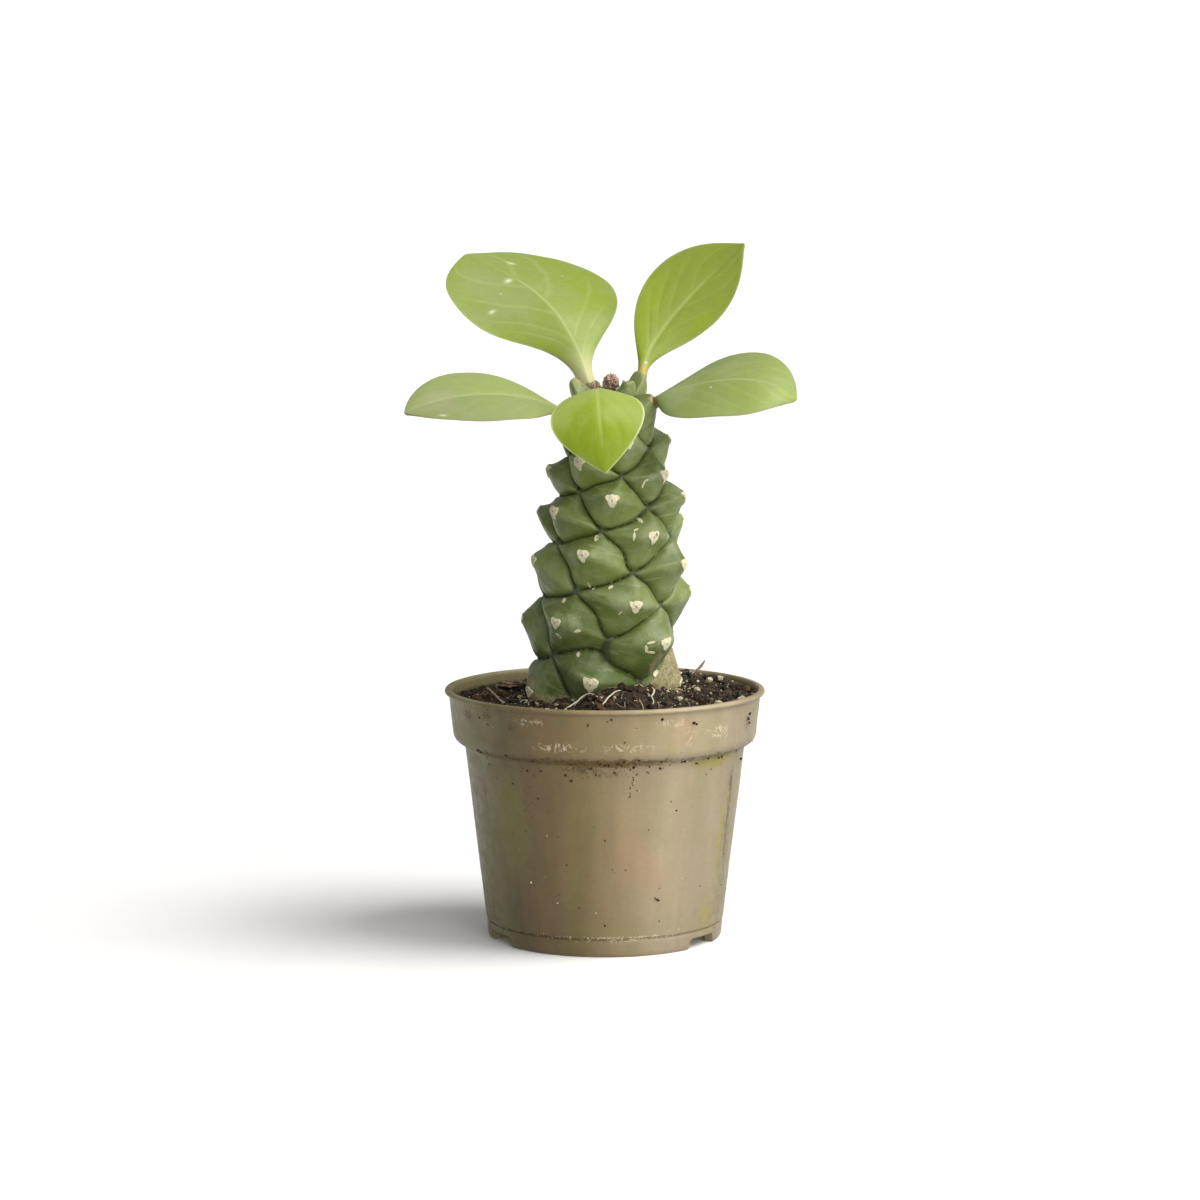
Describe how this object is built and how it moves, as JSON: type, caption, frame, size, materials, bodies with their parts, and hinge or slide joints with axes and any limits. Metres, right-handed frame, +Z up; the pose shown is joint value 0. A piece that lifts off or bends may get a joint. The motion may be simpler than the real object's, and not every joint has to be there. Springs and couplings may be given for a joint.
{
  "type": "potted euphorbia",
  "caption": "Tubercled succulent with broad fleshy leaves at its crown, rooted in soil in a round tapered nursery pot with a rim band and a notched foot.",
  "frame": {"origin": "centre of the pot's foot ring, on the surface the pot stands on", "axes": "+Z up along the pot's axis, +X to the viewer's right, -Y to the front, where the arching front leaf is"},
  "size_m": [0.0999, 0.0865, 0.1836],
  "materials": {
    "pot": "weathered satin",
    "soil": "loose, damp",
    "stem": "waxy skin",
    "leaf": "fleshy, waxy bloom",
    "dry": "dry and papery",
    "perlite": "crumbly",
    "root": "dry fibre"
  },
  "bodies": {
    "root": {"pot": "pot", "soil": "soil", "stem": "stem", "leaf_upper_left": "leaf", "leaf_upper_right": "leaf", "leaf_lower_left": "leaf", "leaf_lower_right": "leaf", "leaf_front": "leaf", "dried_bud": "dry", "dried_bract_left": "dry", "dried_bract_right": "dry", "twig": "dry", "bark_chip": "dry", "perlite_01": "perlite", "perlite_02": "perlite", "perlite_03": "perlite", "perlite_04": "perlite", "perlite_05": "perlite", "perlite_06": "perlite", "perlite_07": "perlite", "perlite_08": "perlite", "perlite_09": "perlite", "perlite_10": "perlite", "needle": "root", "root_strand_front": "root", "root_strand_left": "root", "root_strand_middle": "root"}
  },
  "joints": []
}
